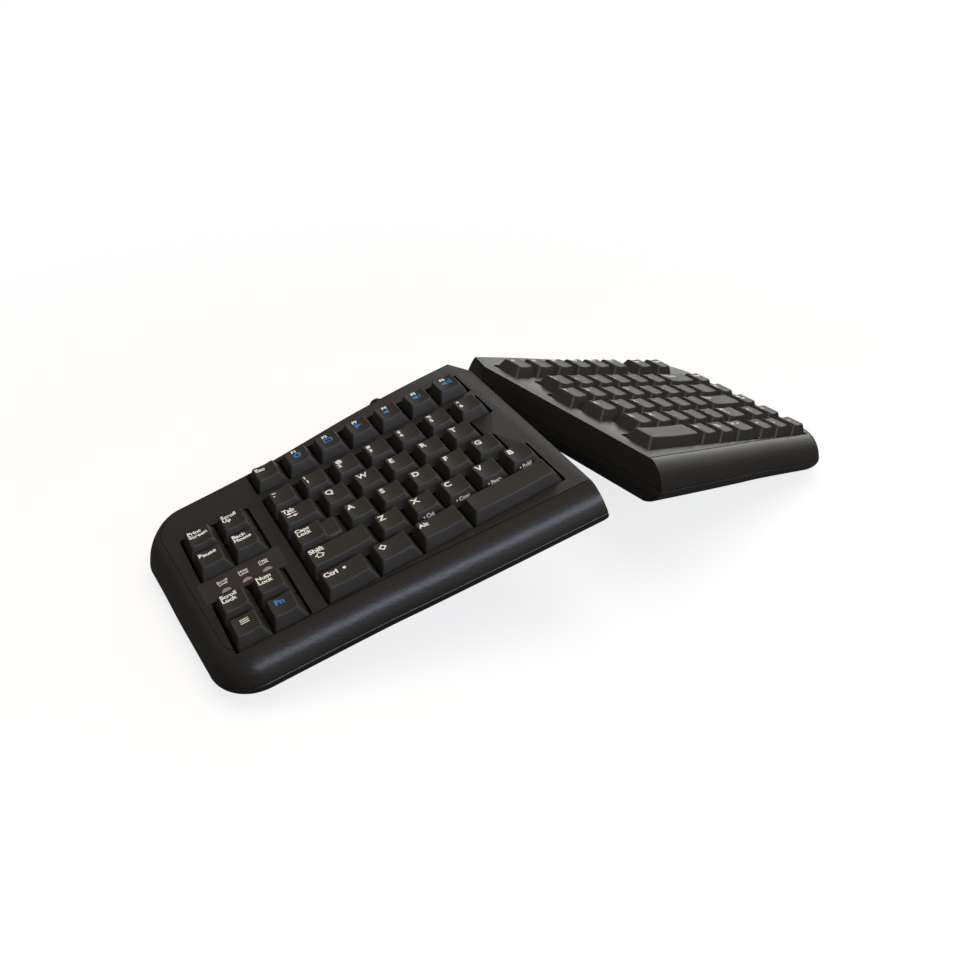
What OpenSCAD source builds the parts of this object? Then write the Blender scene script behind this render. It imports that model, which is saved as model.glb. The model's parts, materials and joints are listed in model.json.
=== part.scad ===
// Ergonomic split keyboard, two tented halves on a lockable ball joint.
// Millimetres. Each half is drawn flat, seam at x = 0, underside at z = 0,
// number row at y = 0, x outward, then turned about the joint's centre.

/* [Layout] */
// Pitch of the keys
pitch = 19.05; // [18:0.05:20]
// From the seam to the first key cell
seam_margin = 10.5; // [8:0.5:16]
// Function row, ahead of the number row, in pitches
function_row = 1.38; // [1.2:0.01:1.5]
// Gap between a key and its cell
key_gap = 0.9; // [0.6:0.1:1.4]
// Extra room of an opening around its cells
opening_room = 0.8; // [0.4:0.1:1.2]

/* [Pose] */
// Outer end of each half tilted down, degrees
tent = 16.3; // [0:0.1:30]
// Front of each half swung out, degrees
splay = 6.7; // [0:0.1:15]
// Joint centre, behind the number row
pivot_y = 34; // [30:0.5:40]
// Joint centre, above the underside
pivot_z = 7.5; // [6:0.5:12]
// Middle of the depth, ahead of the joint
frame_y = 56.284; // [0:0.001:120]
// Joint centre above the desk
frame_z = 64.077; // [0:0.001:120]

/* [Case] */
// Height of the deck
deck_z = 25; // [20:0.5:30]
// Parting line of the two shells
part_z = 11.5; // [8:0.5:16]
// Shell wall
wall = 2.5; // [1.6:0.1:4]
// Outer end of a half, from the seam
outer_x = 212.5; // [190:0.5:230]
// Front edge at the seam
front_in = 108.5; // [90:0.5:115]
// Front edge at the outer corner
front_out = 100; // [90:0.5:115]
// Bow of the front edge between its ends
front_bow = 0.5; // [0:0.5:8]
// Radius of the outer front corner
corner_front = 24.5; // [16:0.5:32]
// Radius of the outer back corner
corner_back = 28; // [20:0.5:45]
// Back edge at the seam
back_in = 55.5; // [45:0.5:65]
// Back edge at the outer corner
back_out = 42; // [35:0.5:60]
// Half of the gap at the seam
seam_gap = 0.5; // [0.2:0.1:1.5]
// Relief of the inner wall below the joint, degrees
relief_low = 37; // [25:1:40]
// Relief of the inner wall behind the joint, degrees
relief_back = 24; // [12:1:25]

/* [Keys] */
// Top of the key caps
key_top = 31; // [28:0.5:34]
// Lower rim of the caps
key_rim = 23.2; // [21:0.1:25]
// Slope of the sides
key_side = 3.0; // [1.5:0.1:4]
// Slope of the front
key_front = 2.6; // [1.5:0.1:4]
// Slope of the back
key_back = 3.0; // [1.5:0.1:4]
// Wall of a cap
key_wall = 1.4; // [1:0.1:2]

/* [Joint] */
// Ball
ball_r = 4.0; // [3:0.1:6]
// Stud through the ball
stud_r = 1.8; // [1.5:0.1:2.5]
// Outside of the liner
liner_r = 5.4; // [4.5:0.1:7]
// Outside of the socket
socket_r = 6.6; // [6.2:0.1:7]

/* [Hidden] */
u = pitch;
$fn = 48;
SHELL = [0.075, 0.073, 0.07];
CAP = [0.11, 0.105, 0.1];
STEEL = [0.6, 0.61, 0.62];
SHEET = [0.82, 0.84, 0.86];
RUBBER = [0.04, 0.04, 0.04];
// Turn of the right half as seen from the left one
r00 = cos(tent) * cos(tent) * cos(2 * splay) - sin(tent) * sin(tent);
r10 = sin(2 * splay) * cos(tent);
r20 = -sin(tent) * cos(tent) * (1 + cos(2 * splay));
rest_splay = atan2(r10, r00);
rest_tent = asin(-r20);
// Body of the cord's bush
gland_r = 3.6;
gland_long = 10.2;
// Room around the socket in the right half
joint_room = 2.5;
// Lever pin and the way from it to the joint
pin_x = -12;
pin_y = pivot_y + 14;
pin_turn = atan2(pivot_y - pin_y, -pin_x);
pin_far = sqrt(pin_x * pin_x + 14 * 14);

// Key cells as [first, last, row], in pitches from the block's outer or inner side
function run(c, n, r) = [for (i = [0:n - 1]) [c + i, c + i + 1, r]];
function on_l(k) = [for (c = k) [seam_margin + (7 - c[1]) * u, seam_margin + (7 - c[0]) * u, c[2] * u]];
function on_r(k) = [for (c = k) [seam_margin + c[0] * u, seam_margin + c[1] * u, c[2] * u]];
fr = function_row;
L_ESC = on_l([[0, 1, fr]]);
L_FUN = on_l(run(1, 6, fr));
L_NUM = on_l(run(0, 7, 0));
L_TAB = on_l([[0, 1.25, -1]]);
L_Q = on_l(run(1.25, 5, -1));
L_CAPS = on_l([[0, 1.5, -2]]);
L_A = on_l(run(1.5, 5, -2));
L_SHIFT = on_l([[0, 2, -3]]);
L_Z = on_l(run(2, 5, -3));
L_CTRL = on_l([[0, 1.5, -4]]);
L_META = on_l([[1.5, 2.75, -4]]);
L_ALT = on_l([[2.75, 4.25, -4]]);
L_SPACE = on_l([[4.25, 7, -4]]);
L_UP = on_l(concat(run(-2.5, 2, 0), run(-2.5, 2, -1)));
L_LOW = on_l([[-2.5, -1.5, -3], [-1.5, -0.5, -3], [-2.5, -1.5, -4]]);
L_FN = on_l([[-1.5, -0.5, -4]]);
L_MAIN = concat(L_ESC, L_FUN, L_NUM, L_TAB, L_Q, L_CAPS, L_A, L_SHIFT, L_Z);
L_KEYS = concat(L_MAIN, L_CTRL, L_META, L_ALT, L_SPACE, L_UP, L_LOW, L_FN);
R_FUN = on_r(run(0, 6, fr));
R_DEL = on_r([[6.45, 7.45, fr], [7.6, 8.6, fr]]);
R_NUM = on_r(run(0.5, 6, 0));
R_BACK = on_r([[6.5, 8.25, 0]]);
R_Q = on_r(concat(run(0, 7, -1), [[7, 8.25, -1]]));
R_A = on_r(run(0.25, 6, -2));
R_ENTER = on_r([[6.25, 8.25, -2]]);
R_Z = on_r(run(0.75, 5, -3));
R_SHIFT = on_r([[5.75, 7.05, -3]]);
R_SPACE = on_r([[0.05, 2.8, -4]]);
R_MOD = on_r([[2.8, 3.8, -4], [3.8, 4.8, -4], [4.8, 6, -4]]);
R_NAV = on_r([for (r = [0:3]) [8.3, 9.3, -r]]);
R_UP = on_r([[7.25, 8.25, -3]]);
R_LEFT = on_r([[6.2, 7.2, -4]]);
R_DOWN = on_r([[7.2, 8.2, -4]]);
R_RIGHT = on_r([[8.3, 9.3, -4]]);
R_MAIN = concat(R_FUN, R_DEL, R_NUM, R_BACK, R_Q, R_A, R_ENTER, R_Z, R_SHIFT, R_SPACE);
R_KEYS = concat(R_MAIN, R_MOD, R_NAV, R_UP, R_LEFT, R_DOWN, R_RIGHT);
L_OPEN = on_l([[0, 7, fr], [0, 7, 0], [0, 6.25, -1], [0, 6.5, -2], [0, 7, -3], [0, 7, -4],
  [-2.5, -0.5, 0], [-2.5, -0.5, -1], [-2.5, -0.5, -3], [-2.5, -0.5, -4]]);
R_OPEN = on_r([[0, 6, fr], [6.45, 8.6, fr], [0.5, 9.3, 0], [0, 9.3, -1], [0.25, 9.3, -2],
  [0.75, 9.3, -3], [0.05, 6, -4], [6.2, 9.3, -4]]);

// Widest outline of a half as [x, y, roll x, roll y, wall x, wall y]
FRONT = [for (t = [0:1 / 6:0.99]) [t == 0 ? seam_gap : (outer_x - 60) * t,
  -front_in - (front_out - front_in) * t - 4 * front_bow * t * (1 - t), 0, 1, t == 0 ? 1 : 0, 1]];
FCORNER = [for (a = [-90:11.25:0]) [outer_x - 4.5 - corner_front * (1 - cos(a)),
  corner_front * (1 + sin(a)) - front_out, -0.85 * cos(a), -sin(a), -cos(a), -sin(a)]];
SIDE = [for (p = [[3.2, -52], [2, -30], [1.2, -8]]) [outer_x - p[0], p[1], -0.85, 0, -1, 0]];
BCORNER = [for (a = [5:10.625:90]) [outer_x - corner_back * (1 - cos(a)), back_out - corner_back * (1 - sin(a)),
  -0.85 * cos(a), -0.45 * sin(a), -cos(a), -sin(a)]];
BACK = [for (p = [[145, 0.08], [125, 0.22], [100, 0.47], [75, 0.72], [45, 0.92], [20, 0.99], [seam_gap, 1]])
  [p[0], back_out + (back_in - back_out) * p[1], 0, -0.45, p[0] == seam_gap ? 1 : 0, -1]];
OUTLINE = concat(FRONT, FCORNER, SIDE, BCORNER, BACK);
// Roll of the rim as [height, inset]
ROLL = [[-1, 14], [0, 11.5], [2, 7], [5.5, 2.5], [10.5, 0], [16, 2.2], [20, 5], [23, 8.4],
  [deck_z - 0.4, 11.2], [deck_z, 13], [deck_z + 1, 18]];
HOLLOW = [[wall - 1, 7.6], [5.5, 2.5], [10.5, 0], [16, 2.2], [20, 5], [deck_z - wall + 1, 8.9]];
// Edge of the key stack
STACK = [[8.5, -82.3], [187, -82.3], [190, -79.3], [190, 11], [178, 25], [174, 31.3], [140, 31.3], [90, 37],
  [13, 37], [13, 29.4], [8.5, 29.4]];
SCREWS = [[22, -86.6], [72, -86.6], [122, -86.6], [194.9, -24], [152, 34.8], [72, 43.6]];
FEET = [[183, -74, 11, 34], [183, -14, 11, 34], [12, -82, 11, 34], [30, 8, 11, 24]];

// Places of the two halves and of the joint
module place(side) {
  translate([0, frame_y, frame_z])
    rotate([0, side * tent, side * splay])
      translate([0, -pivot_y, -pivot_z])
        children();
}
module on_left() {
  place(-1) mirror([1, 0, 0]) children();
}
module on_right() {
  place(1) children();
}
module at_joint() {
  place(-1) translate([0, pivot_y, pivot_z]) children();
}

// Rolled body between rings of the outline
module loft(rings, inset) {
  n = len(OUTLINE);
  m = len(rings);
  points = [for (r = rings) for (p = OUTLINE)
    [p[0] + r[1] * p[2] + inset * p[4], p[1] + r[1] * p[3] + inset * p[5], r[0]]];
  side_a = [for (j = [0:m - 2]) for (i = [0:n - 1])
    [j * n + i, (j + 1) * n + (i + 1) % n, j * n + (i + 1) % n]];
  side_b = [for (j = [0:m - 2]) for (i = [0:n - 1])
    [j * n + i, (j + 1) * n + i, (j + 1) * n + (i + 1) % n]];
  low = [[for (i = [0:n - 1]) i]];
  high = [[for (i = [0:n - 1]) m * n - 1 - i]];
  polyhedron(points, concat(low, side_a, side_b, high));
}
// Wedges that let the inner walls pass each other
module seam_relief() {
  translate([seam_gap, -200, pivot_z])
    rotate([0, -relief_low, 0])
      translate([-60, 0, -60])
        cube([60, 400, 60]);
  translate([seam_gap, pivot_y, -50])
    rotate([0, 0, -relief_back])
      translate([-60, 0, 0])
        cube([60, 80, 150]);
}
module shell(low, high) {
  difference() {
    intersection() {
      loft(ROLL, 0);
      translate([-10, -150, low]) cube([260, 300, high - low]);
    }
    intersection() {
      loft(HOLLOW, wall);
      translate([-10, -150, wall]) cube([260, 300, deck_z - 2 * wall]);
    }
    seam_relief();
  }
}
module posts(low, high, r) {
  for (p = SCREWS) translate([p[0], p[1], low]) cylinder(r = r, h = high - low);
}
module screw_holes() {
  for (p = SCREWS) {
    translate([p[0], p[1], -1]) cylinder(r = 3.1, h = 3.6);
    translate([p[0], p[1], -1]) cylinder(r = 1.6, h = 21);
  }
}
// Wall behind the relief, so the seam stays closed
module inner_wall(low, high) {
  difference() {
    intersection() {
      loft(ROLL, 0.8);
      union() {
        if (low < pivot_z)
          translate([seam_gap, -110, low])
            cube([wall + pivot_z * tan(relief_low) + 0.5, 180, pivot_z - low]);
        translate([seam_gap, pivot_y - 4, low])
          cube([wall + (back_in - pivot_y) * tan(relief_back), 40, high - low]);
      }
    }
    seam_relief();
  }
}
module bottom_shell() {
  difference() {
    union() {
      shell(0, part_z);
      inner_wall(0.8, part_z);
      posts(wall - 0.5, part_z, 4.4);
      for (p = [[52, -48], [138, -48], [52, 0], [118, 4], [176, -30]])
        translate([p[0], p[1], wall - 0.5]) cylinder(r = 3, h = part_z + 0.3 - wall + 0.5);
    }
    screw_holes();
  }
}
module top_shell(cells) {
  difference() {
    union() {
      shell(part_z, deck_z);
      inner_wall(part_z, deck_z - 1);
      posts(part_z, deck_z - wall + 0.3, 3.4);
    }
    screw_holes();
    for (c = cells)
      translate([c[0] - opening_room, c[2] - u / 2 - opening_room, deck_z - 6.5])
        cube([c[1] - c[0] + 2 * opening_room, u + 2 * opening_room, 12]);
  }
}

// One hollow cap on its stem
module frustum(x0, x1, y0, y1, z0, z1, s, f, b) {
  polyhedron([[x0, y0, z0], [x1, y0, z0], [x1, y1, z0], [x0, y1, z0],
    [x0 + s, y0 + f, z1], [x1 - s, y0 + f, z1], [x1 - s, y1 - b, z1], [x0 + s, y1 - b, z1]],
    [[0, 1, 2, 3], [4, 5, 1, 0], [7, 6, 5, 4], [5, 6, 2, 1], [6, 7, 3, 2], [7, 4, 0, 3]]);
}
module cap(x0, x1, y, top) {
  h = (u - key_gap) / 2;
  w = key_wall;
  k = (top - key_rim) / (key_top - key_rim);
  difference() {
    frustum(x0, x1, y - h, y + h, key_rim, top, key_side * k, key_front * k, key_back * k);
    frustum(x0 + w, x1 - w, y - h + w, y + h - w, key_rim - 0.01, top - w,
      key_side * k, key_front * k, key_back * k);
  }
}
module keys(cells) {
  for (c = cells) {
    cap(c[0] + key_gap / 2, c[1] - key_gap / 2, c[2], key_top);
    translate([(c[0] + c[1]) / 2 - 2.5, c[2] - 2, 17.3])
      cube([5, 4, key_top - key_wall / 2 - 17.3]);
  }
}

// Sheets below the keys
module sheet(low, high) {
  translate([0, 0, low]) linear_extrude(high - low) polygon(STACK);
}
module frame(cells) {
  difference() {
    sheet(14, 19);
    translate([0, 0, -3.6])
      linear_extrude(21.2)
        polygon([[11, -81], [186, -81], [188, -79], [188, 10], [176, 24], [172.6, 30.6], [139, 30.6], [90, 35.5],
          [14.5, 35.5], [14.5, 28], [11, 28]]);
    for (c = cells)
      translate([(c[0] + c[1]) / 2 - 2.85, c[2] - 2.35, 10]) cube([5.7, 4.7, 12]);
  }
}
module domes(cells) {
  sheet(13.4, 14);
  for (c = cells)
    translate([(c[0] + c[1]) / 2, c[2], 13.9]) difference() {
      cylinder(r1 = 4.2, r2 = 4, h = 3.3);
      translate([0, 0, 0.1]) cylinder(r = 3.5, h = 5);
    }
}
module screws() {
  for (p = SCREWS) {
    translate([p[0], p[1], 0.7]) cylinder(r = 2.8, h = 1.9);
    translate([p[0], p[1], 2]) cylinder(r = 1.5, h = 16.5);
  }
}
module feet() {
  for (f = FEET) translate([f[0], f[1], -2]) cube([f[2], f[3], 2]);
}

// Left half
module left_bottom_case() {
  color(SHELL) place(-1) difference() {
    union() {
      mirror([1, 0, 0]) bottom_shell();
      translate([-63, pivot_y + 8.2, wall - 0.5]) cube([60, 1.4, part_z - wall + 0.5]);
      intersection() {
        union() {
          translate([-63, pivot_y + 8.2, 10.5]) cube([60, 20, 1]);
          translate([-63, pivot_y + 8.2, wall - 0.5]) cube([1.4, 20, part_z - wall + 0.5]);
        }
        mirror([1, 0, 0]) difference() { loft(ROLL, 0); seam_relief(); }
      }
      for (x = [-104, -66]) for (y = [8, 30])
        translate([x, y, wall - 0.5]) cylinder(r = 2.4, h = 5.5 - wall + 0.5);
    }
    translate([-61.6, pivot_y + 9.6, 3.4]) cube([58, 40, 7.1]);
    translate([pin_x, pin_y, 1]) cylinder(r = 1.5, h = 20);
    translate([pin_x, pin_y, 3.4]) cylinder(r = 5.4, h = 7.1);
    translate([0, pivot_y, pivot_z - 4.6]) cylinder(r = socket_r + 0.2, h = 9.2);
    translate([-20.2, pivot_y - 7, wall]) cube([20, 14, 9.2]);
    translate([0, pivot_y, pivot_z]) rotate([0, 0, pin_turn + 180]) rotate([0, 90, 0]) cylinder(r = 2.6, h = 20);
  }
}
module left_top_case() {
  color(SHELL) on_left() difference() {
    top_shell(L_OPEN);
    translate([0, pivot_y, pivot_z - 4.6]) cylinder(r = socket_r + 0.2, h = 9.2);
    translate([seam_margin + 7.33 * u, -2.43 * u, deck_z - 0.9]) cube([2.32 * u, 0.86 * u, 5]);
    translate([56, 80, 17.5]) rotate([90, 0, 0]) cylinder(r = gland_r + 0.06, h = 60);
  }
}
module indicator_panel() {
  color(CAP) on_left() difference() {
    translate([seam_margin + 7.33 * u, -2.43 * u, deck_z - 0.9]) cube([2.32 * u, 0.86 * u, 1]);
    lens_row(deck_z - 2, 4);
  }
}
// Half-round lenses, flat side to the front
module lens_row(low, h) {
  for (c = [7.86, 8.44, 9.03])
    translate([seam_margin + c * u, -2.3 * u, low])
      intersection() {
        cylinder(r = 2.5, h = h);
        translate([-3, 0, -1]) cube([6, 3, h + 2]);
      }
}
module indicator_lenses() {
  color([0.45, 0.42, 0.42]) on_left() lens_row(deck_z - 0.9, 1.2);
}
module left_key_frame() {
  color(SHELL) on_left() frame(L_KEYS);
}
module left_dome_sheet() {
  color(SHEET) on_left() domes(L_KEYS);
}
module left_membrane() {
  color([0.3, 0.5, 0.4]) on_left() sheet(12.8, 13.4);
}
module left_base_plate() {
  color(STEEL) on_left() sheet(11.8, 12.8);
}
module controller_board() {
  color([0.05, 0.3, 0.15]) on_left() translate([62, 4, 5.5]) cube([46, 30, 1.6]);
}
module cord_gland() {
  color(RUBBER) on_left() translate([56, back_in - 10, 17.5]) rotate([-90, 0, 0]) difference() {
    union() {
      cylinder(r = gland_r, h = gland_long);
      cylinder(r = gland_r + 1, h = 2);
      translate([0, 0, gland_long - 2.5]) cylinder(r = gland_r + 0.8, h = 2.5);
    }
    translate([0, 0, -1]) cylinder(r = 2.2, h = 20);
  }
}
module left_screws() {
  color(STEEL) on_left() screws();
}
module left_feet() {
  color(RUBBER) on_left() feet();
}

// Ball joint and its lock
module hinge_socket() {
  color(STEEL) at_joint() difference() {
    union() {
      translate([0, 0, -4.4]) cylinder(r = socket_r, h = 8.8);
      translate([-20, -6.8, wall - pivot_z]) cube([17, 13.6, 9]);
    }
    rotate([0, 0, 110]) sphere(r = liner_r + 0.25);
    // Window for the stud
    rotate([0, 0, rest_splay]) rotate([0, 0, -45]) translate([0, 0, -20]) cube([20, 20, 22.6]);
    rotate([0, 0, pin_turn + 180]) rotate([0, 90, 0]) cylinder(r = 2.5, h = 30);
  }
}
module hinge_liner() {
  color(STEEL) at_joint() rotate([0, 0, rest_splay]) difference() {
    intersection() {
      rotate([0, 0, 110]) sphere(r = liner_r);
      translate([-10, -10, -3.6]) cube([20, 20, 7.2]);
    }
    rotate([0, 0, 110]) sphere(r = ball_r + 0.25);
    // Slot that the stud swings down in
    translate([0, -2.2, -2.2]) cube([20, 4.4, 4.4]);
    rotate([0, 66, 0]) translate([0, -2.2, -2.2]) cube([20, 4.4, 4.4]);
    rotate([0, 33, 0]) translate([0, -2.2, -6]) cube([20, 4.4, 12]);
  }
}
module hinge_ball() {
  color(STEEL) at_joint() rotate([0, 0, rest_splay]) rotate([0, rest_tent, 0]) difference() {
    rotate([0, 0, 110]) sphere(r = ball_r);
    rotate([0, 90, 0]) cylinder(r = stud_r + 0.08, h = 20, center = true);
  }
}
module hinge_stud() {
  color(STEEL) on_right() translate([0, pivot_y, pivot_z]) union() {
    translate([-3.3, 0, 0]) rotate([0, 90, 0]) cylinder(r = stud_r, h = 18);
    translate([10, -7, wall - pivot_z]) cube([14, 14, 9]);
  }
}
module lever_pin() {
  color(STEEL) place(-1) translate([pin_x, pin_y, 1]) cylinder(r = 1.5, h = 10.4);
}
module lock_lever() {
  color(SHELL) place(-1) translate([pin_x, pin_y, 4.4]) difference() {
    union() {
      rotate([0, 0, pin_turn]) translate([0.35, 0, 0]) cylinder(r = 3.7, h = 5);
      translate([-40, 0.2, 0]) cube([40, 3.4, 5]);
      translate([-47, 0.2, 0]) cube([10, 5.4, 5]);
    }
    translate([0, 0, -1]) cylinder(r = 1.58, h = 8);
  }
}
module clamp_shoe() {
  color(STEEL) at_joint() rotate([0, 0, pin_turn + 180]) rotate([0, 90, 0]) difference() {
    translate([0, 0, 3]) cylinder(r = 2.4, h = pin_far - 4.15 - 3);
    sphere(r = liner_r + 0.06);
  }
}

// Right half
module right_bottom_case() {
  color(SHELL) on_right() difference() {
    bottom_shell();
    translate([0, pivot_y, pivot_z]) sphere(r = socket_r + joint_room);
    translate([9.8, pivot_y - 7.2, wall]) cube([14.4, 14.4, 9.2]);
    translate([0, pivot_y, pivot_z]) rotate([0, 90, 0]) cylinder(r = stud_r + 0.1, h = 14);
  }
}
module right_top_case() {
  color(SHELL) on_right() difference() {
    top_shell(R_OPEN);
    translate([0, pivot_y, pivot_z]) sphere(r = socket_r + joint_room);
  }
}
module right_key_frame() {
  color(SHELL) on_right() frame(R_KEYS);
}
module right_dome_sheet() {
  color(SHEET) on_right() domes(R_KEYS);
}
module right_membrane() {
  color([0.3, 0.5, 0.4]) on_right() sheet(12.8, 13.4);
}
module right_base_plate() {
  color(STEEL) on_right() sheet(11.8, 12.8);
}
module right_screws() {
  color(STEEL) on_right() screws();
}
module right_feet() {
  color(RUBBER) on_right() feet();
}

// Keys of the left half
module escape_key() { color(CAP) on_left() keys(L_ESC); }
module left_function_keys() { color(CAP) on_left() keys(L_FUN); }
module left_number_keys() { color(CAP) on_left() keys(L_NUM); }
module tab_key() { color(CAP) on_left() keys(L_TAB); }
module left_upper_letters() { color(CAP) on_left() keys(L_Q); }
// Stepped cap: the outer two thirds stand up
module caps_key() {
  c = L_CAPS[0];
  color(CAP) on_left() union() {
    cap(c[0] + key_gap / 2, c[1] - key_gap / 2, c[2], key_top - 2.6);
    cap(c[0] + 0.42 * u, c[1] - key_gap / 2, c[2], key_top);
    translate([(c[0] + c[1]) / 2 - 2.5, c[2] - 2, 17.3]) cube([5, 4, key_top - key_wall / 2 - 17.3]);
  }
}
module left_home_letters() { color(CAP) on_left() keys(L_A); }
module left_shift_key() { color(CAP) on_left() keys(L_SHIFT); }
module left_lower_letters() { color(CAP) on_left() keys(L_Z); }
module left_ctrl_key() { color(CAP) on_left() keys(L_CTRL); }
module left_meta_key() { color(CAP) on_left() keys(L_META); }
module left_alt_key() { color(CAP) on_left() keys(L_ALT); }
module left_space_key() { color(CAP) on_left() keys(L_SPACE); }
module cluster_upper_keys() { color(CAP) on_left() keys(L_UP); }
module cluster_lower_keys() { color(CAP) on_left() keys(L_LOW); }
module fn_key() { color(CAP) on_left() keys(L_FN); }

// Keys of the right half
module right_function_keys() { color(CAP) on_right() keys(R_FUN); }
module delete_keys() { color(CAP) on_right() keys(R_DEL); }
module right_number_keys() { color(CAP) on_right() keys(R_NUM); }
module backspace_key() { color(CAP) on_right() keys(R_BACK); }
module right_upper_letters() { color(CAP) on_right() keys(R_Q); }
module right_home_letters() { color(CAP) on_right() keys(R_A); }
module enter_key() { color(CAP) on_right() keys(R_ENTER); }
module right_lower_letters() { color(CAP) on_right() keys(R_Z); }
module right_shift_key() { color(CAP) on_right() keys(R_SHIFT); }
module right_space_key() { color(CAP) on_right() keys(R_SPACE); }
module right_modifier_keys() { color(CAP) on_right() keys(R_MOD); }
module nav_keys() { color(CAP) on_right() keys(R_NAV); }
module arrow_up_key() { color(CAP) on_right() keys(R_UP); }
module arrow_left_key() { color(CAP) on_right() keys(R_LEFT); }
module arrow_down_key() { color(CAP) on_right() keys(R_DOWN); }
module arrow_right_key() { color(CAP) on_right() keys(R_RIGHT); }

left_bottom_case();
left_top_case();
left_key_frame();
left_dome_sheet();
left_membrane();
left_base_plate();
controller_board();
indicator_panel();
indicator_lenses();
cord_gland();
left_screws();
left_feet();
hinge_socket();
lever_pin();
hinge_liner();
hinge_ball();
lock_lever();
clamp_shoe();
right_bottom_case();
right_top_case();
right_key_frame();
right_dome_sheet();
right_membrane();
right_base_plate();
right_screws();
right_feet();
hinge_stud();
escape_key();
left_function_keys();
left_number_keys();
tab_key();
left_upper_letters();
caps_key();
left_home_letters();
left_shift_key();
left_lower_letters();
left_ctrl_key();
left_meta_key();
left_alt_key();
left_space_key();
cluster_upper_keys();
cluster_lower_keys();
fn_key();
right_function_keys();
delete_keys();
right_number_keys();
backspace_key();
right_upper_letters();
right_home_letters();
enter_key();
right_lower_letters();
right_shift_key();
right_space_key();
right_modifier_keys();
nav_keys();
arrow_up_key();
arrow_left_key();
arrow_down_key();
arrow_right_key();
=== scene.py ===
import json
from math import cos, pi, radians, sin, tan

import bmesh
import bpy
from mathutils import Matrix, Vector

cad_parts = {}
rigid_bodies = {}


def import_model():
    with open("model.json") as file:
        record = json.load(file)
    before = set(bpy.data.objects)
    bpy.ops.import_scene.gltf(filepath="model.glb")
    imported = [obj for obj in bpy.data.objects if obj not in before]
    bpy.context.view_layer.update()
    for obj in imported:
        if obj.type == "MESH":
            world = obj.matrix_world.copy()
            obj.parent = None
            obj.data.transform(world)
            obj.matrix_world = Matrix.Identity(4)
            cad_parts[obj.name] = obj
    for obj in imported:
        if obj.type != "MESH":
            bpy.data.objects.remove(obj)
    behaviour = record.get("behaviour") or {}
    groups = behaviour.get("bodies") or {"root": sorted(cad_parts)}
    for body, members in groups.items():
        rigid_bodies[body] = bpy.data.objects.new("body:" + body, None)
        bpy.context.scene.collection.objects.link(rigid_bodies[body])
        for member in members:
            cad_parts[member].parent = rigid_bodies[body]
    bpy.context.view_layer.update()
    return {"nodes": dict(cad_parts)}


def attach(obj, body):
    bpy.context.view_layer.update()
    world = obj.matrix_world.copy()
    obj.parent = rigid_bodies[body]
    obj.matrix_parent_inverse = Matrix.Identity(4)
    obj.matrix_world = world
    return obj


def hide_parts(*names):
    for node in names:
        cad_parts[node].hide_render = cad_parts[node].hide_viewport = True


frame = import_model()

# Bottom shells
# Injection-moulded ABS trays with a rolled rim that undercuts to the desk. Each half is drawn
# flat in millimetres, x out from the seam, then turned about the centre of the ball joint.
MM = 0.001
TENT, SPLAY = radians(16.3), radians(6.7)
JOINT = Vector((0, 34, 7.5))
JOINT_STANDS = Vector((0, 0.056284, 0.064077))
DECK, PARTING, WALL, SEAM = 25.0, 11.5, 2.5, 0.5
RELIEF_LOW, RELIEF_BACK = radians(37), radians(24)


def standing(side):
    turn = Matrix.Rotation(side * SPLAY, 4, "Z") @ Matrix.Rotation(side * TENT, 4, "Y")
    lift = Matrix.Translation(JOINT_STANDS)
    return lift @ turn @ Matrix.Scale(MM, 4) @ Matrix.Translation(-JOINT)


RIGHT = standing(1)
LEFT = standing(-1)
LEFT_OUTWARD = LEFT @ Matrix.Scale(-1, 4, (1, 0, 0))
HALVES = (("left", LEFT_OUTWARD, "left_half"), ("right", RIGHT, "right_half"))


def smooth_run(stations, steps):
    run = []
    for i in range(len(stations) - 1):
        a, b = stations[max(i - 1, 0)], stations[i]
        c, d = stations[i + 1], stations[min(i + 2, len(stations) - 1)]
        for k in range(steps):
            t = k / steps
            run.append([0.5 * (2 * q + (r - p) * t + (2 * p - 5 * q + 4 * r - s) * t * t
                               + (3 * q - p - 3 * r + s) * t ** 3)
                        for p, q, r, s in zip(a, b, c, d)])
    return run + [list(stations[-1])]


# A point of the outline is its place, the way the rim rolls in there, and the way a wall does.
FRONT_IN, FRONT_RISE, FRONT_BOW, FRONT_LONG = -108.45, 8.5, 2, 152.5
FRONT_CORNER, FRONT_RADIUS = (183.5, -75.85), 24.1
SIDE_RUN = [(208.9, -52), (210.1, -30), (210.9, -8)]
SIDE_END = [212.09, 16.41, -0.847, -0.039, -0.996, -0.087]
BACK_CORNER, BACK_RADIUS = (184.5, 14), 27.7
BACK_OUT, BACK_RISE = 42, 13.5
BACK_RUN = [(184.5, -0.022), (145, 0.08), (125, 0.22), (100, 0.47),
            (75, 0.72), (45, 0.92), (20, 0.99), (SEAM, 1)]
FRONT_ROLL, SIDE_ROLL, BACK_ROLL = 1, 0.85, 0.45
RUN_STEPS = 4


def outline_corner(centre, radius, start, sweep, steps, roll):
    points = []
    for k in range(steps + 1):
        a = radians(start + sweep * k / steps)
        points.append([centre[0] + radius * cos(a), centre[1] + radius * sin(a),
                       -SIDE_ROLL * cos(a), -roll * sin(a), -cos(a), -sin(a)])
    return points


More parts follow.
